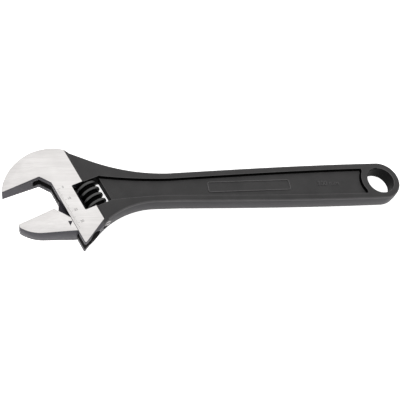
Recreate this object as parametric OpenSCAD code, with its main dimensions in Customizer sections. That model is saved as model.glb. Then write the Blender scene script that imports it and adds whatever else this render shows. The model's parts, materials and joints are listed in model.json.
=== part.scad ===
// Adjustable wrench, 300 mm size: one forging with a fixed jaw, a jaw that slides on a
// round rail, and the worm, axle screw and spring that drive it.
//
// The row frame lies flat: X runs from the jaws to the handle's end, Y towards the fixed jaw
// and Z up, with the origin under the middle of the box around the wrench.
// The layout frame has the same axes, with its origin on the axis of the hang hole.
// The head frame is turned by jaw_angle about the inner corner of the mouth: its X runs along
// the jaw faces towards the handle, and its Y along the rail towards the fixed jaw.

/* [Overall size] */
// Length from the tip of the fixed jaw to the end of the handle
overall_l = 308; // [306:0.5:310]
// Thickness of the head between its two ground faces
head_t = 15; // [14.8:0.1:15.6]
// Thickness of the handle between its two forged faces
handle_t = 12.4; // [12:0.1:12.8]

/* [Handle] */
// Radius of the hang hole
hang_hole_r = 11.25; // [10:0.25:11.5]
// Radius of the handle's round end
end_r = 16.5; // [16:0.1:17]
// Half the width of the handle at its waist
waist_half_w = 12.3; // [12:0.1:12.8]
// Distance from the hang hole to the waist
waist_l = 172; // [168:1:174]
// Width of the rim beside the recessed panels
rim_w = 5.2; // [4.6:0.1:5.6]
// Depth of each recessed panel
panel_d = 2.6; // [2:0.1:3]

/* [Head] */
// Radius of the head's back behind the fixed jaw's tip
tip_arc_r = 29.3; // [28.5:0.1:30]
// Radius of the head's back
back_arc_r = 37.2; // [36.5:0.1:38]
// Radius of the shoulder between the head's back and the neck
shoulder_arc_r = 21; // [20:0.5:22]
// Slope of the neck above the handle
neck_angle = 25.5; // [25:0.25:26]
// Radius of the hollow under the neck
throat_arc_r = 56; // [54:0.5:58]
// Slope of the beak's lower edge
beak_angle = 46; // [45:0.5:47]
// Distance along the jaw faces from the slide face to the end of the ground faces
ground_w = 20; // [19.5:0.25:20.5]

/* [Jaws] */
// Angle between the jaw faces and the handle
jaw_angle = 22.5; // [22:0.25:23]
// Depth of the mouth from the jaw tips to the slide face
mouth_d = 33.3; // [33:0.1:33.6]
// Opening between the jaw faces as modelled
opening = 27.5; // [27:0.1:28]
// Widest opening
opening_max = 34; // [33:0.5:35]
// Height of the sliding jaw along its slide face
jaw_foot_h = 22.5; // [22:0.1:23]
// Thickness that each face of a jaw loses by its tip
tip_thinning = 2.4; // [1:0.1:2.6]
// Thickness of the web that joins the sliding jaw to its rail
web_t = 6.2; // [5.6:0.1:6.4]

/* [Rail and worm] */
// Radius of the rail
rail_r = 5.5; // [5.3:0.05:5.6]
// Distance from the slide face to the rail's axis
rail_x = 9.6; // [9.5:0.05:9.7]
// Distance from the slide face to the worm's axis
worm_x = 22; // [21.95:0.05:22.1]
// Radius over the worm's thread
thread_r = 8.65; // [8.6:0.05:8.7]
// Radius of the worm's core
core_r = 6.5; // [6.4:0.05:6.55]
// Pitch of the thread and of the rack
pitch = 5.2; // [5.1:0.05:5.3]
// Width of the worm's window along the jaw faces
window_w = 21.7; // [21.2:0.1:22]
// Height of the worm's window along the rail
window_h = 21.7; // [21.4:0.1:22]
// Radius of the worm's axle screw
axle_r = 2.4; // [2.2:0.05:2.5]
// Radius of the spring's wire
wire_r = 0.35; // [0.3:0.05:0.4]

/* [Hidden] */
$fn = 72;

slide_gap = 0.06;      // running clearance of the rail in its bore
face_gap = 0.1;        // clearance of the flat sliding faces
end_play = 0.2;        // play of the worm at each end of its window
flank_gap = 0.15;      // play between the thread and the rack
mid_z = thread_r;      // height of the middle plane, with the worm just touching the ground
past = 5;              // how far a cut runs past the solid
head_reach = 80;       // a distance that runs past the whole head
boss_r = end_r + 0.2;  // boss round the hang hole, where the panels end
thinning_start = 3;    // distance from the slide face to where the jaws start to thin

// Fixed jaw and head, in the layout frame
jaw_tip = [end_r - overall_l, 0.4];
mouth = jaw_tip + mouth_d * [cos(jaw_angle), sin(jaw_angle)];
tip_arc_c = jaw_tip + [tip_arc_r, 0];
tip_arc_end = 160;
back_arc_c = tip_arc_c - (back_arc_r - tip_arc_r) * [cos(tip_arc_end), sin(tip_arc_end)];
shoulder_c = back_arc_c + [0, back_arc_r - shoulder_arc_r];
neck_normal = [sin(neck_angle), cos(neck_angle)];
neck_offset = neck_normal * shoulder_c + shoulder_arc_r;
neck_arc_r = (neck_normal * [-waist_l, waist_half_w] - neck_offset) / (1 - cos(neck_angle));
throat_x = -waist_l - 12;
throat_c = [throat_x, -waist_half_w - throat_arc_r];
corner_w = 5.5;        // chamfer at the mouth's inner corner, along the jaw face
corner_h = 8;          // and along the slide face
beak_blunt = 0.9;      // flat on the beak's tip

// Window, rail and worm, in the head frame
window_x = worm_x - window_w / 2 + 0.45;
window_top = -16;
window_bottom = window_top - window_h;
worm_l = window_h - 2 * end_play;
worm_bottom = window_bottom + end_play;
mesh_open = 10.4;      // rack left beside the worm at the widest opening
mesh_closed = 8.1;     // rack left beside the worm with the jaws closed
rail_top = window_bottom + mesh_open + opening_max - opening;
rail_bottom = window_top - mesh_closed - opening;
bore_top = rail_top + opening + 2;
cutter_c = [2, -7];    // axis of the round end of the web's slot
cutter_r = 14.2;

// Sliding jaw, in the head frame with Y = 0 on its gripping face
foot_chamfer_w = 7.2;  // chamfer at the jaw's inner corner, along the gripping face
foot_chamfer_h = 11.3; // and along the slide face
jaw_back_l = 22.8;     // straight part of the jaw's back
jaw_back_r = 26;       // round part of the jaw's back
jaw_back_end = -150;   // direction from the round part's centre to the jaw's tip
web_inset = 0.6;       // step from the rail's end down to the web
web_lead = 0.7;        // how far the web's upper corner stands out of the slide face
web_reach = 5.5;       // how far the web reaches into the jaw
web_drop = 4;          // from the gripping face down to the web's edge inside the jaw

// Thread: half of the angle round the worm that its crest and its root take
crest_half_a = 70;
root_half_a = 110;
crest_half_w = pitch * crest_half_a / 360;
root_half_w = pitch * root_half_a / 360;
thread_start = -1.4;   // height of the thread's middle at angle 0, from the worm's lower end
steps_per_turn = 18;
rack_root_x = worm_x - thread_r - 0.3;
lead_angle = atan(pitch / (2 * PI * (thread_r + core_r) / 2));

// Axle screw and spring, in the head frame
axle_top = -8;
axle_head_y = -50.8;
axle_head_r = 3.6;
axle_head_h = 2.4;
spring_r = 3.4;
spring_turns = 5;
spring_seat_r = 4.3;
spring_seat_h = 7;
spring_play = 0.15;    // space left at each end of the spring
driver_slot_w = 1;
driver_slot_d = 1;

// The wrench's box in the layout frame gives the row frame's origin
low_corner = [min([for (p = outline()) p.x]), min([for (p = outline()) p.y])];
high_corner = [max([for (p = outline()) p.x]), max([for (p = outline()) p.y])];
origin = (low_corner + high_corner) / 2;

// A point of the head frame in the layout frame, and back
function from_head(p) = mouth + [
    p.x * cos(jaw_angle) - p.y * sin(jaw_angle),
    p.x * sin(jaw_angle) + p.y * cos(jaw_angle)
];
function to_head(p) = let (d = p - mouth) [
    d.x * cos(jaw_angle) + d.y * sin(jaw_angle),
    d.y * cos(jaw_angle) - d.x * sin(jaw_angle)
];

function arc(centre, r, from, to, steps) = [
    for (i = [0 : steps])
        let (a = from + (to - from) * i / steps)
        centre + r * [cos(a), sin(a)]
];

// Half the handle's width between the waist and the hang hole
function half_width(x) =
    waist_half_w + (end_r - waist_half_w) * sin(90 * (x + waist_l) / waist_l);

// Outline of the forging, anticlockwise from the bottom of the handle's round end
function outline() =
    let (
        beak_start = to_head(throat_c + throat_arc_r * [-sin(beak_angle), cos(beak_angle)]),
        beak_slope = tan(beak_angle - jaw_angle),
        beak_y = beak_start.y - beak_start.x * beak_slope
    )
    concat(
        arc([0, 0], end_r, -90, 90, 24),
        [for (i = [1 : 11]) let (x = -waist_l * i / 12) [x, half_width(x)]],
        arc([-waist_l, waist_half_w + neck_arc_r], neck_arc_r, -90, -90 - neck_angle, 10),
        arc(shoulder_c, shoulder_arc_r, 90 - neck_angle, 90, 4),
        arc(back_arc_c, back_arc_r, 94, tip_arc_end, 12),
        arc(tip_arc_c, tip_arc_r, tip_arc_end + 4, 180, 5),
        [
            from_head([-corner_w, 0]),
            from_head([0, -corner_h]),
            from_head([0, beak_y + beak_blunt]),
            from_head([beak_blunt, beak_y + beak_blunt * beak_slope])
        ],
        arc(throat_c, throat_arc_r, 90 + beak_angle, 90, 12),
        [for (i = [12 : -1 : 1]) let (x = -waist_l * i / 12) [x, -half_width(x)]]
    );

// Outline of a recessed panel, between the window and the boss round the hang hole
function panel_outline() =
    let (
        half_w = waist_half_w - rim_w,
        right = window_x + window_w,
        top = from_head([right, window_top]),
        bottom = from_head([right, window_bottom]),
        top_flare = (top.y - half_w) / pow(-waist_l - top.x, 2),
        bottom_flare = (-bottom.y - half_w) / pow(-waist_l - bottom.x, 2)
    )
    concat(
        [from_head([right - 2, window_top]), from_head([right - 2, window_bottom])],
        [for (i = [0 : 5])
            let (d = (-waist_l - bottom.x) * (1 - i / 6))
            [-waist_l - d, -half_w - bottom_flare * d * d]],
        [for (i = [12 : -1 : 1]) let (x = -waist_l * i / 12) [x, rim_w - half_width(x)]],
        [for (i = [1 : 12]) let (x = -waist_l * i / 12) [x, half_width(x) - rim_w]],
        [for (i = [1 : 6])
            let (d = (-waist_l - top.x) * i / 6)
            [-waist_l - d, half_w + top_flare * d * d]]
    );

// A solid through rings of points, each ring anticlockwise seen from the next
module loft(rings) {
    n = len(rings[0]);
    last = (len(rings) - 1) * n;
    sides = [
        for (j = [0 : len(rings) - 2], i = [0 : n - 1], half = [0, 1])
            let (a = j * n + i, b = j * n + (i + 1) % n)
            half == 0 ? [a, a + n, b] : [b, a + n, b + n]
    ];
    caps = [[for (i = [0 : n - 1]) i], [for (i = [n - 1 : -1 : 0]) last + i]];
    polyhedron([for (ring = rings) each ring], concat(sides, caps));
}

module in_layout() {
    translate([-origin.x, -origin.y, mid_z]) children();
}

module in_head() {
    in_layout() translate(mouth) rotate(jaw_angle) children();
}

// Stands its children's Z axis along the rail, at a place in the head frame
module along_rail(x, y) {
    translate([x, y, 0]) rotate([-90, 0, 0]) children();
}

// The wedges that thin both faces of a jaw towards its tip
module tip_wedges(from_y, to_y) {
    reach = mouth_d + past;
    angle = atan(tip_thinning / (mouth_d - thinning_start));
    for (side = [0, 1])
        mirror([0, 0, side])
            translate([-thinning_start, from_y, head_t / 2])
                rotate([0, 180 - angle, 0])
                    mirror([0, 0, 1])
                        cube([reach, to_y - from_y, past]);
}

// The half of the layout frame that holds the head's ground faces
module ground_side() {
    translate(mouth)
        rotate(jaw_angle)
            translate([-head_reach, -head_reach, -head_t])
                cube([head_reach + ground_w, 2 * head_reach, 2 * head_t]);
}

// The forging behind the ground faces
module forging() {
    difference() {
        translate([0, 0, -handle_t / 2]) linear_extrude(handle_t) polygon(outline());
        ground_side();
    }
}

// The head between its ground faces
module ground_head() {
    intersection() {
        translate([0, 0, -head_t / 2]) linear_extrude(head_t) polygon(outline());
        ground_side();
    }
}

module panels() {
    for (side = [0, 1])
        mirror([0, 0, side])
            difference() {
                translate([0, 0, handle_t / 2 - panel_d])
                    linear_extrude(past) polygon(panel_outline());
                cylinder(h = handle_t, r = boss_r);
            }
}

// Everything that is cut along the rail or the worm's axle
module head_cuts() {
    translate([window_x, window_bottom, -head_t]) cube([window_w, window_h, 2 * head_t]);
    along_rail(rail_x, -head_reach)
        cylinder(h = head_reach + bore_top, r = rail_r + slide_gap);
    slot_t = web_t + 2 * face_gap;
    translate([-past, -head_reach, -slot_t / 2])
        cube([rail_x + past, head_reach + cutter_c.y, slot_t]);
    translate([cutter_c.x, cutter_c.y, -slot_t / 2]) cylinder(h = slot_t, r = cutter_r);
    along_rail(worm_x, -head_reach)
        cylinder(h = head_reach + axle_top + end_play, r = axle_r + slide_gap);
    along_rail(worm_x, -head_reach)
        cylinder(h = head_reach + axle_head_y + axle_head_h + face_gap, r = axle_head_r + face_gap);
    tip_wedges(-corner_h, head_reach);
}

module body() {
    color("#3d3b3e")
        difference() {
            in_layout() union() {
                forging();
                ground_head();
            }
            in_layout() panels();
            in_layout() translate([0, 0, -head_t]) cylinder(h = 2 * head_t, r = hang_hole_r);
            in_head() head_cuts();
        }
}

// The sliding jaw's plate, in the head frame with Y = 0 on its gripping face
function jaw_outline() =
    let (
        heel = [-face_gap, -jaw_foot_h],
        back_dir = [-cos(jaw_angle), sin(jaw_angle)],
        back_normal = [sin(jaw_angle), cos(jaw_angle)],
        arc_c = heel + jaw_back_l * back_dir + jaw_back_r * back_normal
    )
    concat(
        [[-foot_chamfer_w, 0], [-mouth_d, 0]],
        arc(arc_c, jaw_back_r, jaw_back_end, -90 - jaw_angle, 8),
        [heel, [-face_gap, -foot_chamfer_h]]
    );

module rack_grooves() {
    root = root_half_w + flank_gap;
    crest = crest_half_w + flank_gap;
    first = worm_bottom + thread_start + pitch / 2;
    for (y = [first - 4 * pitch : pitch : first + 4 * pitch])
        translate([worm_x, y, 0])
            rotate([-lead_angle, 0, 0])
                translate([0, 0, -rail_r - past])
                    linear_extrude(2 * (rail_r + past))
                        polygon([
                            [-core_r, -root], [rack_root_x - worm_x, -crest],
                            [rack_root_x - worm_x, crest], [-core_r, root]
                        ]);
}

module movable_jaw() {
    color("#d8d5d2")
        in_head() union() {
            translate([0, -opening, 0]) difference() {
                translate([0, 0, -head_t / 2]) linear_extrude(head_t) polygon(jaw_outline());
                tip_wedges(-head_reach, past);
            }
            translate([0, 0, -web_t / 2])
                linear_extrude(web_t)
                    polygon([
                        [rail_x, rail_top - web_inset], [-web_lead, rail_top - web_inset],
                        [-web_reach, -opening - web_drop], [-web_reach, -opening - foot_chamfer_h],
                        [rail_x, -opening - jaw_foot_h]
                    ]);
            difference() {
                along_rail(rail_x, rail_bottom) cylinder(h = rail_top - rail_bottom, r = rail_r);
                rack_grooves();
            }
        }
}

// Radius of the worm at an angle from the middle of its crest
function thread_radius(a) =
    let (off_crest = min(abs(a), 360 - abs(a)) - crest_half_a)
    thread_r - (thread_r - core_r) * max(0, min(1, off_crest / (root_half_a - crest_half_a)));

// The threaded solid round the Z axis: one section, turning as it rises
module thread() {
    turn = 360 / steps_per_turn;
    slices = round(worm_l / pitch * steps_per_turn);
    loft([for (j = [0 : slices])
        let (z = worm_l * j / slices, middle = 360 * (z - thread_start) / pitch)
        [for (i = [0 : steps_per_turn - 1])
            let (a = (i + 0.5) * turn, r = thread_radius(a))
            [r * cos(middle + a), r * sin(middle + a), z]]]);
}

module worm() {
    color("#1d1c1e")
        in_head() along_rail(worm_x, worm_bottom) difference() {
            thread();
            translate([0, 0, -past]) cylinder(h = worm_l + 2 * past, r = axle_r + slide_gap);
            translate([0, 0, worm_l - spring_seat_h])
                cylinder(h = spring_seat_h + past, r = spring_seat_r);
        }
}

module worm_axle() {
    color("#5a585c")
        in_head() along_rail(worm_x, axle_head_y) difference() {
            union() {
                cylinder(h = axle_head_h, r = axle_head_r);
                cylinder(h = axle_top - axle_head_y, r = axle_r);
            }
            translate([-axle_head_r - past, -driver_slot_w / 2, -past])
                cube([2 * (axle_head_r + past), driver_slot_w, past + driver_slot_d]);
        }
}

// A coil spring round the axle, between its seat in the worm and the window's upper wall
module worm_spring() {
    free_l = spring_seat_h + end_play - 2 * wire_r - 2 * spring_play;
    turn = 20;
    bottom = worm_bottom + worm_l - spring_seat_h + wire_r + spring_play;
    color("#8d8a86")
        in_head() along_rail(worm_x, bottom)
            loft([for (i = [0 : spring_turns * 360 / turn])
                let (a = i * turn, z = free_l * a / 360 / spring_turns)
                [for (p = arc([0, 0], wire_r, 0, 315, 7))
                    [(spring_r + p[1]) * cos(a), (spring_r + p[1]) * sin(a), z + p[0]]]]);
}

body();
movable_jaw();
worm();
worm_axle();
worm_spring();
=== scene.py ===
import json
import math

import bmesh
import bpy
from mathutils import Euler, Matrix, Vector


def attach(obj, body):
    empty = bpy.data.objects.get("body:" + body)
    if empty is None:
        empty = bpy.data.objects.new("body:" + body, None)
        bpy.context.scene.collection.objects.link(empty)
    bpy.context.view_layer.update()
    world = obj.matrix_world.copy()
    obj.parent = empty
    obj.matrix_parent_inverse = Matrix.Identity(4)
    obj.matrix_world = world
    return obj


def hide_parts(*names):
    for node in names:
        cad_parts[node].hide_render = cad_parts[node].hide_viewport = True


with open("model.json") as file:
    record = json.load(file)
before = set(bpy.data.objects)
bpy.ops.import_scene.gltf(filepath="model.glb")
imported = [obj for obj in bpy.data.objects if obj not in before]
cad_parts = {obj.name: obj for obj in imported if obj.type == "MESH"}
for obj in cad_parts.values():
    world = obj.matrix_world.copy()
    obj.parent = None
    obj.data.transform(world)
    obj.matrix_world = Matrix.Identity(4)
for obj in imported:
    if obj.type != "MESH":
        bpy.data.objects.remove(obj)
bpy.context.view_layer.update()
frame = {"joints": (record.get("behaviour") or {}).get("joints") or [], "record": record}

# Sizes are in millimetres, as in a workshop drawing, and are turned to metres as they are used.
# Heights are from the wrench's middle plane. In the head, x runs along the jaw faces from the
# mouth's inner corner towards the handle, and y runs up along the rail.
MM = 0.001
HANDLE_T = 12.4
HEAD_T = 15.0
END_R = 16.5
HANG_HOLE_R = 11.25
COUNTERSINK = 0.3
WAIST_HALF_W = 12.3
WAIST_L = 172.0
RIM_W = 5.2
RIM_R = 1.0
DRAFT = 0.3
PANEL_D = 2.6
PANEL_FILLET_R = 1.2
OVERALL_L = 308.0
MOUTH_D = 33.3
JAW_ANGLE = math.radians(22.5)
GROUND_W = 20.0
GROUND_SLOPE = 2.4
SHARP_EDGE = 0.35
OPENING = 27.5
JAW_SHOULDER = 11.3
JAW_FOOT = 22.5
THINNING_START = 3.0
TIP_THINNING = 2.4
WINDOW = {"left": 11.6, "right": 33.3, "top": -16.0, "bottom": -37.7}
PLAY = 0.06
RAIL_R = 5.5
RAIL_X = 9.6
RAIL_TOP = -20.8
RAIL_BOTTOM = -51.6
RAIL_BORE_TOP = 8.7
WEB_T = 6.2
WEB_SLOT_T = 6.4
WORM_X = 22.0
WORM_L = 21.3
WORM_BOTTOM = -37.5
PITCH = 5.2
THREAD_R = 8.6
CORE_R = 6.5
THREAD_START = 1.4
THREAD_TOP_HALF_W = 1.011
THREAD_FOOT_HALF_W = 1.589
FLANK_GAP = 0.15
AXLE_R = 2.4
AXLE_TOP = -8.0
AXLE_HEAD_R = 3.6
AXLE_HEAD_TOP = -48.4
BELOW_HEAD = -80.0
ABOVE_HEAD = 9.0
SPRING_SEAT_D = 7.0

# The frame gives the middle of the hang hole and of the worm, and the direction of the rail.
mounts = {m["name"]: m for m in frame["record"]["mounts"]}
joints = {j["name"]: j for j in frame["joints"]}
hang_hole = Vector(mounts["hang_hole"]["pos_m"])
rail_dir = Vector(joints["worm_spin"]["axis"]).normalized()
jaw_dir = Vector((rail_dir.y, -rail_dir.x, 0))
worm_mid_y = WORM_BOTTOM + WORM_L / 2
mouth = Vector(joints["worm_spin"]["pos_m"]) - jaw_dir * WORM_X * MM - rail_dir * worm_mid_y * MM
layout = Matrix.Translation(hang_hole)
head = Matrix.Translation(mouth) @ Matrix.Rotation(JAW_ANGLE, 4, "Z")
to_head = head.inverted()


def in_layout(x, y, z=0.0):
    """A point given from the middle of the hang hole."""
    return layout @ Vector((x * MM, y * MM, z * MM))


def in_head(x, y, z=0.0):
    """A point given along the jaw faces and along the rail, from the mouth's inner corner."""
    return head @ Vector((x * MM, y * MM, z * MM))


def head_place(point):
    """Where a point is in the head's own directions, in millimetres."""
    return (to_head @ point) / MM


def arc(centre, radius, start, end, steps):
    """Points along an arc, between two angles in degrees."""
    angles = [math.radians(start + (end - start) * i / steps) for i in range(steps + 1)]
    return [(centre[0] + radius * math.cos(a), centre[1] + radius * math.sin(a)) for a in angles]


def turned(x, y):
    """A point of the head, given from the middle of the hang hole."""
    point = (head @ Vector((x * MM, y * MM, 0)) - hang_hole) / MM
    return (point.x, point.y)


# ---------------------------------------------------------------- workshop operations


def take(piece):
    """Makes this the only piece on the bench."""
    if bpy.context.object and bpy.context.object.mode != "OBJECT":
        bpy.ops.object.mode_set(mode="OBJECT")
    bpy.ops.object.select_all(action="DESELECT")
    piece.select_set(True)
    bpy.context.view_layer.objects.active = piece


def open_up(piece, kind="FACE"):
    """Starts work on the mesh itself, with nothing selected."""
    take(piece)
    bpy.ops.object.mode_set(mode="EDIT")
    bpy.ops.mesh.select_mode(type=kind)
    bpy.ops.mesh.select_all(action="DESELECT")


def close_up():
    bpy.ops.object.mode_set(mode="OBJECT")


def mark_out(piece, kind, test):
    """Selects the corners, edges or faces that pass a test."""
    mesh = bmesh.from_edit_mesh(piece.data)
    mesh.normal_update()
    for part in [part for part in getattr(mesh, kind) if test(part)]:
        part.select_set(True)
    bmesh.update_edit_mesh(piece.data)


def new_piece(name):
    piece = bpy.context.object
    piece.name = name
    return piece


def settle(piece):
    """Puts the piece's place into its mesh."""
    take(piece)
    bpy.ops.object.transform_apply(location=True, rotation=True, scale=True)
    return piece


def square_up(piece):
    """Turns every face outwards."""
    open_up(piece)
    bpy.ops.mesh.select_all(action="SELECT")
    bpy.ops.mesh.remove_doubles(threshold=1e-7)
    bpy.ops.mesh.normals_make_consistent(inside=False)
    close_up()
    return piece


def plate(name, corners, low, high):
    """A flat plate from its outline, between two heights from the middle plane."""
    bpy.ops.object.select_all(action="DESELECT")
    bpy.ops.mesh.primitive_circle_add(vertices=len(corners), radius=MM, fill_type="NGON")
    piece = new_piece(name)
    for corner, place in zip(piece.data.vertices, corners):
        corner.co = (place.x, place.y, hang_hole.z + low * MM)
    open_up(piece)
    bpy.ops.mesh.select_all(action="SELECT")
    bpy.ops.mesh.extrude_region_move(TRANSFORM_OT_translate={"value": (0, 0, (high - low) * MM)})
    close_up()
    return square_up(piece)


def block(name, low, high, ease=0.0):
    """A block along the head's directions, from corner to corner, with upright edges eased."""
    middle = [(a + b) / 2 for a, b in zip(low, high)]
    bpy.ops.object.select_all(action="DESELECT")
    bpy.ops.mesh.primitive_cube_add(size=1, location=in_head(*middle), rotation=(0, 0, JAW_ANGLE))
    piece = new_piece(name)
    piece.scale = [(b - a) * MM for a, b in zip(low, high)]
    settle(piece)
    if ease:
        open_up(piece, "EDGE")
        mark_out(piece, "edges", lambda e: abs(e.verts[0].co.z - e.verts[1].co.z) > 1e-5)
        bpy.ops.mesh.bevel(offset=ease * MM, segments=4, affect="EDGES")
        close_up()
    return piece


def bar(name, radius, x, start, end, sides=72):
    """A round bar that lies along the rail's direction."""
    bpy.ops.object.select_all(action="DESELECT")
    bpy.ops.mesh.primitive_cylinder_add(
        vertices=sides, radius=radius * MM, depth=(end - start) * MM,
        location=in_head(x, (start + end) / 2), rotation=(-math.pi / 2, 0, JAW_ANGLE))
    return settle(new_piece(name))


def disc(name, radius, centre, low, high, sides=96):
    """A round disc that stands upright."""
    bpy.ops.object.select_all(action="DESELECT")
    bpy.ops.mesh.primitive_cylinder_add(
        vertices=sides, radius=radius * MM, depth=(high - low) * MM,
        location=(centre.x, centre.y, hang_hole.z + (low + high) / 2 * MM))
    return settle(new_piece(name))


def work(piece, tool, operation="DIFFERENCE"):
    """Cuts the piece with a tool, or joins the two, and puts the tool away."""
    take(piece)
    change = piece.modifiers.new("work", "BOOLEAN")
    change.operation = operation
    change.solver = "EXACT"
    change.object = tool
    bpy.ops.object.modifier_apply(modifier=change.name)
    bpy.data.objects.remove(tool)
    return piece


def slice_through(piece, place, direction, keep="BOTH"):
    """Cuts along a plane, and keeps both sides or the one that the direction points to."""
    open_up(piece)
    bpy.ops.mesh.select_all(action="SELECT")
    bpy.ops.mesh.bisect(plane_co=place, plane_no=direction, use_fill=keep != "BOTH",
                        clear_inner=keep == "AHEAD", clear_outer=keep == "BEHIND")
    close_up()
    return square_up(piece)


def fold(edge):
    """How far the two faces at an edge turn from each other, in degrees."""
    return math.degrees(edge.calc_face_angle(0.0))


def ease_edges(piece, width, test, segments=2):
    """Rounds the edges that pass a test."""
    open_up(piece, "EDGE")
    mark_out(piece, "edges", test)
    bpy.ops.mesh.bevel(offset=width * MM, segments=segments, profile=0.5, affect="EDGES",
                       clamp_overlap=False)
    close_up()
    return piece


def thin_tip(piece):
    """Thins both faces of a jaw evenly towards its tip."""
    slice_through(piece, in_head(-THINNING_START, 0), jaw_dir)
    for corner in piece.data.vertices:
        reach = -THINNING_START - head_place(corner.co).x
        if reach > 0:
            height = HEAD_T / 2 - TIP_THINNING * reach / (MOUTH_D - THINNING_START)
            side = 1 if corner.co.z > hang_hole.z else -1
            corner.co.z = hang_hole.z + side * height * MM
    return piece


# ---------------------------------------------------------------- outlines


def half_width(x):
    """Half the handle's width between the waist and the hang hole."""
    return WAIST_HALF_W + (END_R - WAIST_HALF_W) * math.sin(math.pi / 2 * (x + WAIST_L) / WAIST_L)


def forging_outline():
    """The whole forging from the hang hole's end to the fixed jaw's tip and back, in arcs."""
    tip = (END_R - OVERALL_L, 0.4)
    tip_arc_r, back_arc_r, shoulder_r, throat_r = 29.3, 37.199, 21.0, 56.0
    neck, beak, beak_nick = 25.5, 46.0, 0.9
    tip_arc_c = (tip[0] + tip_arc_r, tip[1])
    out = math.radians(160)
    back_c = (tip_arc_c[0] - (back_arc_r - tip_arc_r) * math.cos(out),
              tip_arc_c[1] - (back_arc_r - tip_arc_r) * math.sin(out))
    shoulder_c = (back_c[0], back_c[1] + back_arc_r - shoulder_r)
    normal = (math.sin(math.radians(neck)), math.cos(math.radians(neck)))
    offset = normal[0] * shoulder_c[0] + normal[1] * shoulder_c[1] + shoulder_r
    neck_r = (-normal[0] * WAIST_L + normal[1] * WAIST_HALF_W - offset) / (1 - normal[1])
    throat_c = (-WAIST_L - 12, -WAIST_HALF_W - throat_r)
    slope = math.tan(math.radians(beak) - JAW_ANGLE)
    lip = (throat_c[0] - throat_r * math.sin(math.radians(beak)),
           throat_c[1] + throat_r * math.cos(math.radians(beak)))
    lip = head_place(in_layout(*lip))
    beak_y = lip.y - lip.x * slope
    along = [-WAIST_L * i / 24 for i in range(1, 24)]
    points = arc((0, 0), END_R, -90, 90, 40)
    points += [(x, half_width(x)) for x in along]
    points += arc((-WAIST_L, WAIST_HALF_W + neck_r), neck_r, -90, -90 - neck, 16)
    points += arc(shoulder_c, shoulder_r, 90 - neck, 90, 8)
    points += arc(back_c, back_arc_r, 92.5, 160, 27)
    points += arc(tip_arc_c, tip_arc_r, 162.5, 180, 7)
    points += [turned(-5.5, 0), turned(0, -8), turned(0, beak_y + beak_nick),
               turned(beak_nick, beak_y + beak_nick * slope)]
    points += arc(throat_c, throat_r, 90 + beak, 90, 20)
    points += [(x, -half_width(x)) for x in reversed(along)]
    return [in_layout(*p) for p in points]


def panel_outline():
    """The recessed panel, from the worm's window to the boss round the hang hole."""
    half_w = WAIST_HALF_W - RIM_W
    top = turned(WINDOW["right"], WINDOW["top"])
    bottom = turned(WINDOW["right"], WINDOW["bottom"])
    reach = (-WAIST_L - top[0], -WAIST_L - bottom[0])
    flare = ((top[1] - half_w) / reach[0] ** 2, (-bottom[1] - half_w) / reach[1] ** 2)
    points = [turned(WINDOW["right"] - 2, WINDOW["top"]),
              turned(WINDOW["right"] - 2, WINDOW["bottom"])]
    for i in range(12):
        d = reach[1] * (1 - i / 12)
        points.append((-WAIST_L - d, -half_w - flare[1] * d * d))
    along = [-WAIST_L * i / 24 for i in range(24, 1, -1)]
    points += [(x, RIM_W - half_width(x)) for x in along]
    points += [(x, half_width(x) - RIM_W) for x in reversed(along)]
    for i in range(1, 13):
        d = reach[0] * i / 12
        points.append((-WAIST_L - d, half_w + flare[0] * d * d))
    return [in_layout(*p) for p in points]


def jaw_outline():
    """The sliding jaw's plate, where it stands at rest."""
    slide_x = -0.1
    back_flat, back_r = 22.8, 26
    heel = Vector((slide_x, -JAW_FOOT))
    back = Vector((-math.cos(JAW_ANGLE), math.sin(JAW_ANGLE)))
    inwards = Vector((math.sin(JAW_ANGLE), math.cos(JAW_ANGLE)))
    centre = heel + back_flat * back + back_r * inwards
    points = [(-7.2, 0), (-MOUTH_D, 0)]
    points += arc(centre, back_r, -150, -90 - math.degrees(JAW_ANGLE), 20)
    points += [tuple(heel), (slide_x, -JAW_SHOULDER)]
    return [in_head(x, y - OPENING) for x, y in points]


# ---------------------------------------------------------------- the forging


def is_rim(edge):
    """An edge between a flat face and an upright wall."""
    if len(edge.link_faces) != 2:
        return False
    tilt = sorted(abs(f.normal.z) for f in edge.link_faces)
    return tilt[0] < 0.2 and tilt[1] > 0.9


def draw_in(piece, amount):
    """Slopes the side walls inwards from the parting line at half height, as a die does."""
    slice_through(piece, hang_hole, (0, 0, 1))
    mesh = bmesh.new()
    mesh.from_mesh(piece.data)
    mesh.normal_update()
    for corner in mesh.verts:
        walls = [f.normal for f in corner.link_faces if abs(f.normal.z) < 0.1]
        if walls and abs(corner.co.z - hang_hole.z) > MM:
            corner.co -= sum(walls, Vector()).normalized() * amount * MM
    mesh.to_mesh(piece.data)
    mesh.free()


def towards_middle(corners):
    """1 for each corner in the lower half along the rail, and -1 for each in the upper half."""
    along = [head_place(v.co).y for v in corners]
    middle = (min(along) + max(along)) / 2
    return [1 if y < middle else -1 for y in along]


def make_handle():
    """The forging behind the head, which reaches a little way into it."""
    overlap, shrink = 0.5, 0.3
    handle = plate("forging", forging_outline(), -HANDLE_T / 2, HANDLE_T / 2)
    draw_in(handle, DRAFT)

    def outer_rim(edge):
        return is_rim(edge) and max(head_place(v.co).x for v in edge.verts) > GROUND_W - 8
    ease_edges(handle, RIM_R, outer_rim, 3)
    slice_through(handle, in_head(GROUND_W - overlap, 0), jaw_dir, "AHEAD")
    slice_through(handle, in_head(GROUND_W + 0.3, 0), jaw_dir)
    # its end is drawn in a little, so that it lies inside the head
    end = [v for v in handle.data.vertices if head_place(v.co).x < GROUND_W - overlap + 0.1]
    for corner, way in zip(end, towards_middle(end)):
        corner.co += rail_dir * way * shrink * MM
    return handle


def at_neck(edge):
    """An edge of the end where the head meets the handle."""
    return min(head_place(v.co).x for v in edge.verts) > GROUND_W - 0.05


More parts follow.
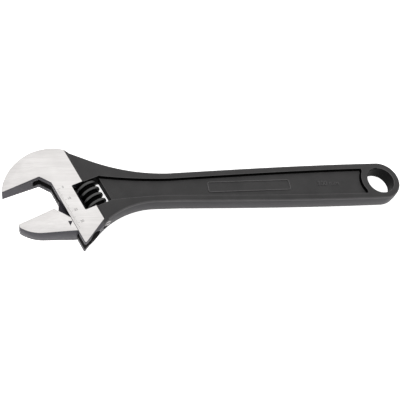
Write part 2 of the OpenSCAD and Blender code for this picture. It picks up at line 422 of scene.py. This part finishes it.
def blend_lower_edge(piece):
    """Slopes the lower edge back between the beak and the neck, on both sides."""
    slope_top, most = 4.5, 2.6
    for height in (slope_top, -slope_top):
        slice_through(piece, hang_hole + Vector((0, 0, height * MM)), (0, 0, 1))
    for corner in piece.data.vertices:
        place = head_place(corner.co)
        if abs(place.z) > 6.9 and place.x > 1.5 and place.y < WINDOW["bottom"] - 1:
            place.y += most * place.x / GROUND_W
            corner.co = head @ (place * MM)


def make_head():
    """The thick part with the ground faces and the fixed jaw."""
    narrowing = 2.8
    block_head = plate("head", forging_outline(), -HEAD_T / 2, HEAD_T / 2)
    slice_through(block_head, in_head(GROUND_W, 0), jaw_dir, "BEHIND")
    thin_tip(block_head)
    ease_edges(block_head, SHARP_EDGE, lambda e: fold(e) > 15 and not at_neck(e))
    blend_lower_edge(block_head)
    # the ground faces run down to the forging behind them
    open_up(block_head)
    mark_out(block_head, "faces", lambda f: f.normal.dot(jaw_dir) > 0.9
             and head_place(f.calc_center_median()).x > GROUND_W - 0.1)
    bpy.ops.mesh.extrude_region_move(
        TRANSFORM_OT_translate={"value": jaw_dir * GROUND_SLOPE * MM})
    close_up()
    cap = [v for v in block_head.data.vertices if head_place(v.co).x > GROUND_W + 1]
    for corner, way in zip(cap, towards_middle(cap)):
        place = head_place(corner.co)
        place.z *= (HANDLE_T / 2 - 0.1) / (HEAD_T / 2)
        place.y += narrowing * way
        corner.co = head @ (place * MM)
    return block_head


def hang_hole_cutter():
    """A drill with countersinks for both rims."""
    top = HANDLE_T / 2 - COUNTERSINK
    step = 2 * COUNTERSINK
    drill = disc("drill", HANG_HOLE_R, hang_hole, -top, top)
    for side in (1, -1):
        open_up(drill)
        mark_out(drill, "faces", lambda f: f.normal.z * side > 0.9)
        bpy.ops.mesh.extrude_region_move(
            TRANSFORM_OT_translate={"value": (0, 0, side * step * MM)})
        close_up()
        for corner in drill.data.vertices:
            if (corner.co.z - hang_hole.z) * side > HANDLE_T / 2 * MM:
                flat = (corner.co - hang_hole).xy * (HANG_HOLE_R + step) / HANG_HOLE_R
                corner.co.xy = hang_hole.xy + flat
    return drill


def panel_cutter(side):
    """A cutter for one side's panel, with its floor's edges rounded."""
    floor = HANDLE_T / 2 - PANEL_D
    ends = sorted((side * floor, side * (HANDLE_T / 2 + 2)))
    cutter = plate("panel_cutter", panel_outline(), *ends)
    work(cutter, disc("boss", END_R + 0.2, hang_hole, -ABOVE_HEAD, ABOVE_HEAD, 120))

    def floor_edge(edge):
        heights = [abs(v.co.z - hang_hole.z - side * floor * MM) for v in edge.verts]
        return max(heights) < 1e-6
    return ease_edges(cutter, PANEL_FILLET_R, floor_edge, 4)


def make_forging():
    """Joins handle and head, and cuts the window, panels, hole, rail bore, slot and axle bore."""
    forging = work(make_handle(), make_head(), "UNION")
    corner_r = 0.8
    work(forging, block("cut", (WINDOW["left"], WINDOW["bottom"], -ABOVE_HEAD),
                        (WINDOW["right"], WINDOW["top"], ABOVE_HEAD), corner_r))
    for side in (1, -1):
        work(forging, panel_cutter(side))
    work(forging, hang_hole_cutter())
    work(forging, bar("cut", RAIL_R + PLAY, RAIL_X, BELOW_HEAD, RAIL_BORE_TOP))
    # the slot's upper end is round, as the milling cutter leaves it
    slot = WEB_SLOT_T / 2
    cutter_y, cutter_r = -7, 14.2
    work(forging, block("cut", (-5, BELOW_HEAD, -slot), (RAIL_X, cutter_y, slot)))
    work(forging, disc("cut", cutter_r, in_head(2, cutter_y), -slot, slot))
    work(forging, bar("cut", AXLE_R + PLAY, WORM_X, BELOW_HEAD, AXLE_TOP + 0.2, 48))
    work(forging, bar("cut", AXLE_HEAD_R + 0.1, WORM_X, BELOW_HEAD, AXLE_HEAD_TOP + 0.1, 48))
    return forging


# ---------------------------------------------------------------- the sliding jaw


def make_sliding_jaw():
    """The sliding jaw's plate, joined to its rail and rack by the web."""
    jaw = plate("sliding_jaw", jaw_outline(), -HEAD_T / 2, HEAD_T / 2)
    thin_tip(jaw)
    ease_edges(jaw, SHARP_EDGE, lambda e: fold(e) > 15)
    # the web reaches from the rail's middle into the plate
    web_top, web_in = RAIL_TOP - 0.6, -5.5
    web = [(RAIL_X, web_top), (-0.7, web_top), (web_in, -OPENING - 4),
           (web_in, -OPENING - JAW_SHOULDER), (RAIL_X, -OPENING - JAW_FOOT)]
    work(jaw, plate("web", [in_head(*p) for p in web], -WEB_T / 2, WEB_T / 2), "UNION")
    rail = bar("rail", RAIL_R, RAIL_X, RAIL_BOTTOM, RAIL_TOP)
    ease_edges(rail, 0.4, lambda e: fold(e) > 60)
    for i in range(-4, 5):
        work(rail, rack_groove(WORM_BOTTOM - THREAD_START + PITCH / 2 + i * PITCH))
    return work(jaw, rail, "UNION")


def rack_groove(y):
    """One groove of the rack, straight and at the thread's own slope."""
    root, crest = THREAD_FOOT_HALF_W + FLANK_GAP, THREAD_TOP_HALF_W + FLANK_GAP
    depth = WORM_X - THREAD_R - 0.3
    lean = math.atan(PITCH / (math.pi * (THREAD_R + CORE_R)))
    profile = [(WORM_X - CORE_R, -root), (depth, -crest), (depth, crest), (WORM_X - CORE_R, root)]
    groove = plate("groove", [in_head(px, y + py) for px, py in profile], -10, 10)
    for corner in groove.data.vertices:
        place = head_place(corner.co)
        place.y += place.z * math.tan(lean)
        corner.co = head @ (place * MM)
    return groove


# ---------------------------------------------------------------- worm, axle screw and spring


def spin_ring(name, profile, x, start, steps):
    """Turns a closed profile of radii and heights into a ring round an axis along the rail."""
    bpy.ops.object.select_all(action="DESELECT")
    bpy.ops.mesh.primitive_circle_add(vertices=len(profile), radius=MM, fill_type="NOTHING")
    ring = new_piece(name)
    for corner, (radius, height) in zip(ring.data.vertices, profile):
        corner.co = in_head(x + radius, start + height)
    open_up(ring, "VERT")
    bpy.ops.mesh.select_all(action="SELECT")
    bpy.ops.mesh.spin(steps=steps, angle=2 * math.pi, center=in_head(x, start), axis=rail_dir)
    close_up()
    return square_up(ring)


def make_worm():
    """The worm: a ring of fine steps whose outside is raised into a knurled thread."""
    rings, bore_r, seat_r = 140, AXLE_R + PLAY, 4.3
    flank_end, flank_w, crown_w, knurl_w = 0.28, 0.14, 0.17, 0.16
    crown_h, crown_drop, knurl_d, knurls, end_ease = 0.14, 0.16, 0.17, 48, 0.6
    seat = WORM_L - SPRING_SEAT_D
    lower = [(bore_r, 0.5), (2.9, 0.0)]
    outside = [(CORE_R, WORM_L * i / rings) for i in range(rings + 1)]
    upper = [(4.7, WORM_L), (seat_r, WORM_L - 0.4), (seat_r, seat), (bore_r, seat)]
    bore = [(bore_r, seat - 0.9 * i) for i in range(1, 15)]
    worm = spin_ring("thumb_worm", lower + outside + upper + bore, WORM_X, WORM_BOTTOM, 240)
    for corner in worm.data.vertices:
        place = head_place(corner.co)
        across = Vector((place.x - WORM_X, -place.z))
        if across.length < CORE_R - 0.3:
            continue
        rise = place.y - WORM_BOTTOM
        angle = math.degrees(math.atan2(across.y, across.x)) % 360
        turns = (rise + THREAD_START) / PITCH - angle / 360
        off = abs(turns - round(turns))
        shape = min(1, max(0, (flank_end - off) / flank_w))
        shape = shape * shape * (3 - 2 * shape)
        crown = max(0, 1 - (off / crown_w) ** 2)
        knurl = 0.5 + 0.5 * math.cos(math.radians(angle * knurls))
        radius = CORE_R + (THREAD_R - CORE_R - crown_drop) * shape + crown_h * crown
        radius -= knurl_d * knurl * max(0, 1 - (off / knurl_w) ** 2)
        ends = min(rise, WORM_L - rise)
        radius -= end_ease * max(0, 1 - ends / end_ease) ** 2
        across *= radius / across.length
        corner.co = head @ (Vector((WORM_X + across.x, place.y, -across.y)) * MM)
    return worm


def make_axle_screw():
    """The screw that the worm turns on, with a slot for a screwdriver."""
    foot, slot_half_w, slot_d = AXLE_HEAD_TOP - 2.4, 0.5, 1.0
    screw = bar("axle_screw", AXLE_HEAD_R, WORM_X, foot, AXLE_HEAD_TOP, 64)
    ease_edges(screw, 0.3, lambda e: fold(e) > 60)
    shaft = bar("shaft", AXLE_R, WORM_X, AXLE_HEAD_TOP - 1.1, AXLE_TOP, 64)
    ease_edges(shaft, 0.4, lambda e: fold(e) > 60)
    work(screw, shaft, "UNION")
    return work(screw, block("cut", (WORM_X - 5, foot - 2.2, -slot_half_w),
                             (WORM_X + 5, foot + slot_d, slot_half_w)))


def make_spring():
    """A coil of round wire in the worm's upper end."""
    wire_r, coil_r, turns, gap = 0.35, 3.4, 5, 0.15
    start = WORM_BOTTOM + WORM_L - SPRING_SEAT_D + wire_r + gap
    length = SPRING_SEAT_D + 0.2 - 2 * wire_r - 2 * gap
    bpy.ops.object.select_all(action="DESELECT")
    bpy.ops.mesh.primitive_circle_add(vertices=10, radius=wire_r * MM, fill_type="NOTHING",
                                      location=(coil_r * MM, 0, 0), rotation=(math.pi / 2, 0, 0))
    spring = settle(new_piece("play_spring"))
    coil = spring.modifiers.new("coil", "SCREW")
    coil.axis = "Z"
    coil.angle = 2 * math.pi
    coil.iterations = turns
    coil.screw_offset = length / turns * MM
    coil.steps = coil.render_steps = 40
    take(spring)
    bpy.ops.object.modifier_apply(modifier=coil.name)
    open_up(spring)
    bpy.ops.mesh.select_all(action="SELECT")
    bpy.ops.mesh.fill_holes(sides=10)
    close_up()
    spring.matrix_world = (Matrix.Translation(in_head(WORM_X, start))
                           @ Matrix.Rotation(JAW_ANGLE, 4, "Z")
                           @ Matrix.Rotation(-math.pi / 2, 4, "X"))
    return square_up(settle(spring))


forging = make_forging()
sliding_jaw = make_sliding_jaw()
worm = make_worm()
axle_screw = make_axle_screw()
spring = make_spring()

# ---------------------------------------------------------------- finishes


class Wire:
    """An output of a material's node that can be used in sums."""

    def __init__(self, finish, socket):
        self.finish = finish
        self.socket = socket

    def sum(self, operation, first, second):
        """The result of one sum, as another wire."""
        return self.finish.node("ShaderNodeMath", {0: first, 1: second}, operation=operation)

    def __add__(self, other):
        return self.sum("ADD", self, other)

    def __sub__(self, other):
        return self.sum("SUBTRACT", self, other)

    def __rsub__(self, other):
        return self.sum("SUBTRACT", other, self)

    def __mul__(self, other):
        return self.sum("MULTIPLY", self, other)

    __radd__ = __add__
    __rmul__ = __mul__


class Finish:
    """A material and the few kinds of node that the finishes here are made with."""

    def __init__(self, name, **constants):
        self.material = bpy.data.materials.new(name)
        self.material.use_nodes = True
        self.tree = self.material.node_tree
        self.shader = self.tree.nodes["Principled BSDF"]
        for socket, value in constants.items():
            self.shader.inputs[socket.replace("_", " ")].default_value = value
        self.place = self.node("ShaderNodeTexCoord", out="Object")

    def node(self, kind, inputs=None, out=0, **settings):
        """Any node, from its type, its settings and the values or links of its sockets."""
        node = self.tree.nodes.new(kind)
        for key, value in settings.items():
            setattr(node, key, value)
        for key, value in (inputs or {}).items():
            if isinstance(value, Wire):
                self.tree.links.new(value.socket, node.inputs[key])
            else:
                node.inputs[key].default_value = value
        return Wire(self, node.outputs[out])

    def grain(self, size, detail, stretch=(1, 1, 1), turn=0.0):
        """Noise from 0 to 1 whose spots are about size millimetres across."""
        place = self.node("ShaderNodeMapping", {
            "Vector": self.place, "Rotation": (0, 0, turn), "Scale": stretch})
        return self.node("ShaderNodeTexNoise", {
            "Vector": place, "Scale": 1 / (size * MM), "Detail": detail, "Roughness": 0.6})

    def spread(self, value, low, high):
        """Stretches part of a range to 0 to 1."""
        return self.node("ShaderNodeMapRange", {
            "Value": value, "From Min": low, "From Max": high}, interpolation_type="SMOOTHSTEP")

    def mix(self, amount, first, second):
        """Two colours, mixed by an amount from 0 to 1."""
        first, second = [c if isinstance(c, Wire) else (*c, 1) for c in (first, second)]
        return self.node("ShaderNodeMix", {0: amount, 6: first, 7: second}, out=2,
                         data_type="RGBA")

    def worn_edge(self, radius):
        """1 on sharp edges and 0 on flat faces."""
        eased = self.node("ShaderNodeBevel", {"Radius": radius * MM}, samples=6)
        true = self.node("ShaderNodeNewGeometry", out="Normal")
        match = self.node("ShaderNodeVectorMath", {0: eased, 1: true}, out="Value",
                          operation="DOT_PRODUCT")
        return self.spread(1 - match, 0.01, 0.16)

    def drive(self, socket, wire):
        """Leads a wire into the surface."""
        self.tree.links.new(wire.socket, self.shader.inputs[socket])

    def bump(self, height, depth, strength):
        """Small roughness that is a depth in millimetres deep."""
        wire = self.node("ShaderNodeBump", {
            "Height": height, "Distance": depth * MM, "Strength": strength}, out="Normal")
        self.drive("Normal", wire)


def black_phosphate(name, tone, sheen, tint=(1.0, 1.0, 1.0)):
    """A forging blackened in phosphate: fine dull grain, cloudy colour, and edges painted
    lighter, partly as wear and partly as a painted highlight.
    """
    f = Finish(name, Metallic=0.0, Specular_IOR_Level=sheen, Specular_Tint=(*tint, 1))
    skin = f.grain(0.55, 5)
    cloud = f.grain(14, 3)
    pits = f.spread(f.grain(1.6, 2), 0.62, 0.75)
    # Edges are painted lighter: partly wear, and partly a painted highlight of the light that the
    # rounded rims catch.
    edge_lightening = f.worn_edge(1.3) * f.spread(f.grain(4, 4), 0.25, 0.5)
    dark = [c * tone for c in (0.0150, 0.0142, 0.0150)]
    light = [c * tone for c in (0.0290, 0.0278, 0.0285)]
    colour = f.mix(f.spread(skin * 0.5 + cloud * 0.5, 0.35, 0.65), dark, light)
    colour = f.mix(edge_lightening * 0.55 * tone, colour, (0.115, 0.112, 0.115))
    f.drive("Base Color", colour)
    f.drive("Roughness", 0.40 + skin * 0.12 + cloud * 0.08 - edge_lightening * 0.08)
    f.bump(skin * 0.6 - pits * 0.8, 0.05, 0.5)
    return f.material


def machined_dark():
    """Milled walls of the jaws, blackened over fine tool marks."""
    f = Finish("machined_dark", Metallic=0.0, Specular_IOR_Level=0.36,
               Specular_Tint=(0.93, 0.90, 1.0, 1))
    marks = f.grain(0.5, 3, (0.05, 0.05, 1))
    cloud = f.grain(7, 3)
    edge_lightening = f.worn_edge(0.5)
    colour = f.mix(f.spread(marks * 0.4 + cloud * 0.6, 0.35, 0.65),
                   (0.0120, 0.0110, 0.0142), (0.0240, 0.0222, 0.0282))
    colour = f.mix(edge_lightening * 0.5, colour, (0.20, 0.195, 0.20))
    f.drive("Base Color", colour)
    f.drive("Roughness", 0.36 + cloud * 0.12)
    f.bump(marks, 0.02, 0.5)
    return f.material


def ground_steel():
    """Bright steel with the fine parallel lines of a grinding wheel."""
    f = Finish("ground_steel", Metallic=1.0)
    lines = f.grain(0.28, 3, (0.02, 1, 1), 0.12)
    sweep = f.grain(2.2, 2, (0.06, 1, 1), 0.12)
    cloud = f.grain(16, 3)
    scuffs = f.spread(f.grain(0.9, 6, (0.25, 1, 1), 0.8), 0.66, 0.8)
    tone = f.spread(lines * 0.45 + sweep * 0.3 + cloud * 0.25, 0.36, 0.64)
    colour = f.mix(tone, (0.75, 0.732, 0.724), (0.87, 0.852, 0.844))
    colour = f.mix(scuffs * 0.35, colour, (0.52, 0.50, 0.49))
    f.drive("Base Color", colour)
    f.drive("Roughness", 0.34 + lines * 0.14 + scuffs * 0.1)
    f.bump(lines + scuffs * -0.5, 0.012, 0.5)
    return f.material


def oiled_black():
    """The worm: blackened, oiled and smooth from thumbs."""
    f = Finish("oiled_black", Metallic=0.0, Specular_IOR_Level=0.9, Coat_Weight=0.4,
               Coat_Roughness=0.2)
    skin = f.grain(0.35, 4)
    cloud = f.grain(3, 3)
    edge_lightening = f.worn_edge(0.35) * f.spread(f.grain(1.5, 3), 0.4, 0.65)
    colour = f.mix(f.spread(cloud, 0.35, 0.65), (0.005, 0.0048, 0.0052), (0.012, 0.0115, 0.012))
    colour = f.mix(edge_lightening * 0.4, colour, (0.09, 0.088, 0.09))
    f.drive("Base Color", colour)
    f.drive("Roughness", 0.24 + skin * 0.12 + cloud * 0.08)
    f.bump(skin, 0.02, 0.4)
    return f.material


def turned_steel():
    """The axle screw: turned steel with a thin brown-black film."""
    f = Finish("turned_steel", Metallic=1.0)
    rings = f.grain(0.3, 3)
    cloud = f.grain(2.5, 3)
    colour = f.mix(f.spread(cloud * 0.7 + rings * 0.3, 0.35, 0.65), (0.20, 0.19, 0.19),
                   (0.36, 0.35, 0.35))
    f.drive("Base Color", f.mix(f.worn_edge(0.3) * 0.7, colour, (0.6, 0.59, 0.58)))
    f.drive("Roughness", 0.3 + rings * 0.15)
    f.bump(rings, 0.015, 0.4)
    return f.material


def spring_wire():
    """Drawn spring wire, with lines along its length."""
    f = Finish("spring_wire", Metallic=1.0)
    lines = f.grain(0.2, 3)
    film = f.grain(1.5, 3)
    tone = f.spread(film, 0.35, 0.65)
    f.drive("Base Color", f.mix(tone, (0.30, 0.29, 0.27), (0.48, 0.47, 0.44)))
    f.drive("Roughness", 0.28 + lines * 0.15)
    f.bump(lines, 0.01, 0.4)
    return f.material


def etched_grey():
    """Marks etched into the ground face: dull grey and a little uneven."""
    f = Finish("etched_grey", Metallic=0.0)
    spots = f.grain(0.25, 4)
    tone = f.spread(spots, 0.35, 0.65)
    f.drive("Base Color", f.mix(tone, (0.13, 0.127, 0.125), (0.24, 0.235, 0.23)))
    f.drive("Roughness", 0.55 + spots * 0.2)
    f.bump(spots, 0.01, 0.4)
    return f.material


phosphate = black_phosphate("black_phosphate", 1.0, 0.5)
# Painted shade: a much darker copy of the phosphate for the hang hole's wall.
bore_shade = black_phosphate("black_phosphate_bore", 0.15, 0.06)
# Painted shade: a near-black copy of the phosphate for the panel and window walls and the worm's
# grooves.
hollow_shade = black_phosphate("black_phosphate_hollows", 0.06, 0.02)
# Painted highlight: a lighter copy of the phosphate for the rounded rim along the handle's faces.
rim_highlight = black_phosphate("black_phosphate_rubbed", 2.0, 0.7)
# Painted highlight: a lighter copy of the phosphate for the raised frame and figures, standing
# for the light their edges catch.
raised = black_phosphate("black_phosphate_raised", 1.2, 0.62)
# Painted shade: a darker copy of the phosphate for the upright side walls, with a violet tint.
side_shade = black_phosphate("black_phosphate_sides", 0.75, 0.34, (0.94, 0.91, 1.0))
milled = machined_dark()
ground = ground_steel()
oiled = oiled_black()


def finish_faces(piece, finishes, choose):
    """Gives each face one of the piece's finishes, by its place and direction."""
    for finish in finishes:
        piece.data.materials.append(finish)
    for face in piece.data.polygons:
        face.material_index = finishes.index(choose(head_place(face.center), face.normal))


def is_ground(place, normal):
    """A flat face of the head or jaw, also where it thins towards the tip."""
    thinned = TIP_THINNING if place.x < -THINNING_START else 0.4
    return abs(normal.z) > 0.8 and abs(place.z) > HEAD_T / 2 - thinned - 0.1


def in_panel_wall(place, normal):
    """A panel's wall or the round foot of it, which faces the panel's middle."""
    point = (head @ (place * MM) - hang_hole) / MM
    if point.x < 0 and abs(point.y) < half_width(max(point.x, -WAIST_L)) - 1.5:
        return abs(normal.z) < 0.92
    behind_head = place.x > GROUND_W + 3 and point.x < -0.9 * WAIST_L
    return behind_head and normal.y * point.y < 0 and abs(normal.z) < 0.92


def in_window_wall(place, normal):
    """One of the four walls round the worm."""
    return (abs(normal.z) < 0.3 and place.x < WINDOW["right"] + 0.1
            and WINDOW["bottom"] - 0.1 < place.y < WINDOW["top"] + 0.1)


def forging_finish(place, normal):
    """Ground faces, milled walls round the jaws, painted shade in the hang hole, panels and
    window and on the side walls, a painted highlight along the handle's rim, and blackened
    forging for the rest.
    """
    steep = abs(normal.z)
    from_hole = (head @ (place * MM) - hang_hole).xy.length / MM
    if is_ground(place, normal) and place.x < GROUND_W:
        return ground
    if place.x < GROUND_W - 0.5 and steep < 0.6:
        return milled
    # The hang hole's wall gets the painted-shade copy of the phosphate.
    if from_hole < HANG_HOLE_R + 0.1 and steep < 0.3:
        return bore_shade
    # The panel and window walls get the near-black painted-shade copy.
    if in_panel_wall(place, normal) or in_window_wall(place, normal):
        return hollow_shade
    # The rounded rim of the handle gets the painted-highlight copy.
    on_rim = abs(place.z) > HANDLE_T / 2 - RIM_R and place.x > GROUND_W + 3
    if on_rim and 0.25 < steep < 0.97:
        return rim_highlight
    # Upright walls get the darker painted-shade copy.
    return side_shade if steep < 0.5 else phosphate


def jaw_finish(place, normal):
    """Ground faces and milled walls."""
    return ground if is_ground(place, normal) else milled


def worm_finish(place, normal):
    """Painted shade: the thread's grooves and flanks below the crest get the near-black
    painted-shade copy.
    """
    out = math.hypot(place.x - WORM_X, place.z)
    return hollow_shade if out < THREAD_R - 0.6 else oiled


finish_faces(forging, [phosphate, ground, milled, bore_shade, side_shade, rim_highlight, hollow_shade],
             forging_finish)
finish_faces(sliding_jaw, [milled, ground], jaw_finish)
finish_faces(worm, [oiled, hollow_shade], worm_finish)
axle_screw.data.materials.append(turned_steel())
spring.data.materials.append(spring_wire())

for piece, angle in ((forging, 30), (sliding_jaw, 30), (worm, 60), (axle_screw, 35),
                     (spring, 60)):
    take(piece)
    bpy.ops.object.shade_smooth_by_angle(angle=math.radians(angle))

# ---------------------------------------------------------------- marks

SCALE_ZERO = -14.8
SCALE_L = 35
TICK_X = 0.7
TICK_HALF_W = 0.07
NUMBER_X = 5.6
MARK_LOW = HEAD_T / 2 - 0.02
MARK_HIGH = HEAD_T / 2 + 0.012


def join(name, parts):
    """Makes one piece of several."""
    take(parts[0])
    for part in parts:
        part.select_set(True)
    bpy.ops.object.join()
    return new_piece(name)


def lettering(name, text, place, size, half_depth, turn=0.0):
    """Generic figures, laid flat and made solid."""
    bpy.ops.object.select_all(action="DESELECT")
    bpy.ops.object.text_add(location=place, rotation=(0, 0, turn))
    mark = new_piece(name)
    mark.data.body = text
    mark.data.size = size * MM
    mark.data.extrude = half_depth * MM
    mark.data.align_x = "CENTER"
    mark.data.align_y = "CENTER"
    take(mark)
    bpy.ops.object.convert(target="MESH")
    return square_up(settle(mark))


def make_opening_scale():
    """Ticks a millimetre apart along the slide face, with a number at each ten."""
    marks = []
    for i in range(SCALE_L):
        tick_l = 3.0 if i % 10 == 0 else 2.3 if i % 5 == 0 else 1.5
        y = SCALE_ZERO - i
        marks.append(block("tick", (TICK_X, y - TICK_HALF_W, MARK_LOW),
                           (TICK_X + tick_l, y + TICK_HALF_W, MARK_HIGH)))
    for number in range(0, SCALE_L, 10):
        place = in_head(NUMBER_X, SCALE_ZERO - number, HEAD_T / 2 - 0.006)
        marks.append(lettering("number", str(number), place, 2.6, 0.018, JAW_ANGLE))
    return join("opening_scale", marks)


def make_pointer():
    """The triangle on the sliding jaw that points at the scale."""
    corners = [(-3.15, -13.0), (-3.3, -17.1), (-0.35, -14.3)]
    return plate("scale_pointer", [in_head(x, y - OPENING) for x, y in corners],
                 MARK_LOW, MARK_HIGH)


def rounded_frame(centre_x, half_l, half_w, radius):
    """A rectangle with rounded corners along the handle."""
    x, y = half_l - radius, half_w - radius
    points = []
    for side_x, side_y, start in ((x, y, 0), (-x, y, 90), (-x, -y, 180), (x, -y, 270)):
        points += arc((centre_x + side_x, side_y), radius, start, start + 90, 6)
    return [in_layout(*p) for p in points]


def make_raised_marks():
    """An empty raised frame on the panel, and the wrench's size in raised figures."""
    floor = HANDLE_T / 2 - PANEL_D
    frame_x, half_l, half_w, radius, line = -110.2, 33.0, 4.6, 2.0, 0.7
    outer = rounded_frame(frame_x, half_l, half_w, radius)
    inner = rounded_frame(frame_x, half_l - line, half_w - line, radius - line)
    mark = plate("raised_marks", outer, floor - 0.1, floor + 0.45)
    work(mark, plate("cut", inner, floor - 1, floor + 1))
    square_up(mark)
    size = lettering("size", "300 mm", in_layout(-45, 0, floor + 0.15), 5.6, 0.3)
    return join("raised_marks", [mark, size])


opening_scale = make_opening_scale()
opening_scale.data.materials.append(etched_grey())
pointer = make_pointer()
pointer.data.materials.append(milled)
size_marks = make_raised_marks()
size_marks.data.materials.append(raised)

# ---------------------------------------------------------------- riding on the bodies

for piece, body, node, slot in (
        (forging, "frame", "body", "black_forging"),
        (sliding_jaw, "jaw", "movable_jaw", "ground_steel"),
        (worm, "worm", "worm", "black_worm"),
        (axle_screw, "frame", "worm_axle", "axle_steel"),
        (spring, "frame", "worm_spring", "spring_steel")):
    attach(piece, body)
    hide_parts(node)
for piece, body in ((opening_scale, "frame"), (size_marks, "frame"), (pointer, "jaw")):
    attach(piece, body)

# ---------------------------------------------------------------- floor, light and camera

FLOOR_GLOW = 0.85
SKY_STRENGTH = 0.87
# the camera stands before the wrench, above it and a little turned
LENS = 62.33
CAMERA_PLACE = Vector((-145.717, -249.424, 442.458)) * MM
CAMERA_TURN = [math.radians(angle) for angle in (30.6679, -11.9423, -9.3793)]

bpy.ops.object.select_all(action="DESELECT")
bpy.ops.mesh.primitive_plane_add(size=8, location=(0, 0, -0.2 * MM))
floor = new_piece("floor")
paper = Finish("pale_paper", Roughness=0.9, Specular_IOR_Level=0.1)
paper.drive("Base Color", paper.mix(paper.grain(40, 3), (0.93, 0.93, 0.93), (0.95, 0.95, 0.95)))
paper.shader.inputs["Emission Color"].default_value = (1, 1, 1, 1)
paper.shader.inputs["Emission Strength"].default_value = FLOOR_GLOW
floor.data.materials.append(paper.material)

world = bpy.data.worlds.new("studio")
bpy.context.scene.world = world
world.use_nodes = True
world.node_tree.nodes["Background"].inputs["Color"].default_value = (1.0, 0.995, 0.99, 1)
world.node_tree.nodes["Background"].inputs["Strength"].default_value = SKY_STRENGTH


def soft_box(name, place, aim, size, power):
    """A rectangular lamp that is turned to its aim, with its power in watts."""
    lamp = bpy.data.lights.new(name, "AREA")
    lamp.shape = "RECTANGLE"
    lamp.size, lamp.size_y = size
    lamp.energy = power
    box = bpy.data.objects.new(name, lamp)
    bpy.context.scene.collection.objects.link(box)
    box.location = place
    box.rotation_euler = (Vector(aim) - Vector(place)).to_track_quat("-Z", "Y").to_euler()


soft_box("top_box", (0.0, 0.55, 0.95), (-0.1, 0, 0), (1.0, 0.8), 0.7)
soft_box("front_box", (-0.5, -0.7, 0.6), (0, 0, 0), (0.6, 0.6), 0.4)

lens = bpy.data.cameras.new("camera")
lens.sensor_width = 36
lens.lens = LENS
lens.clip_start = 0.01
camera = bpy.data.objects.new("camera", lens)
bpy.context.scene.collection.objects.link(camera)
place = Matrix.Translation(CAMERA_PLACE)
camera.matrix_world = place @ Euler(CAMERA_TURN, "XYZ").to_matrix().to_4x4()
bpy.context.scene.camera = camera
bpy.context.scene.view_settings.view_transform = "Standard"
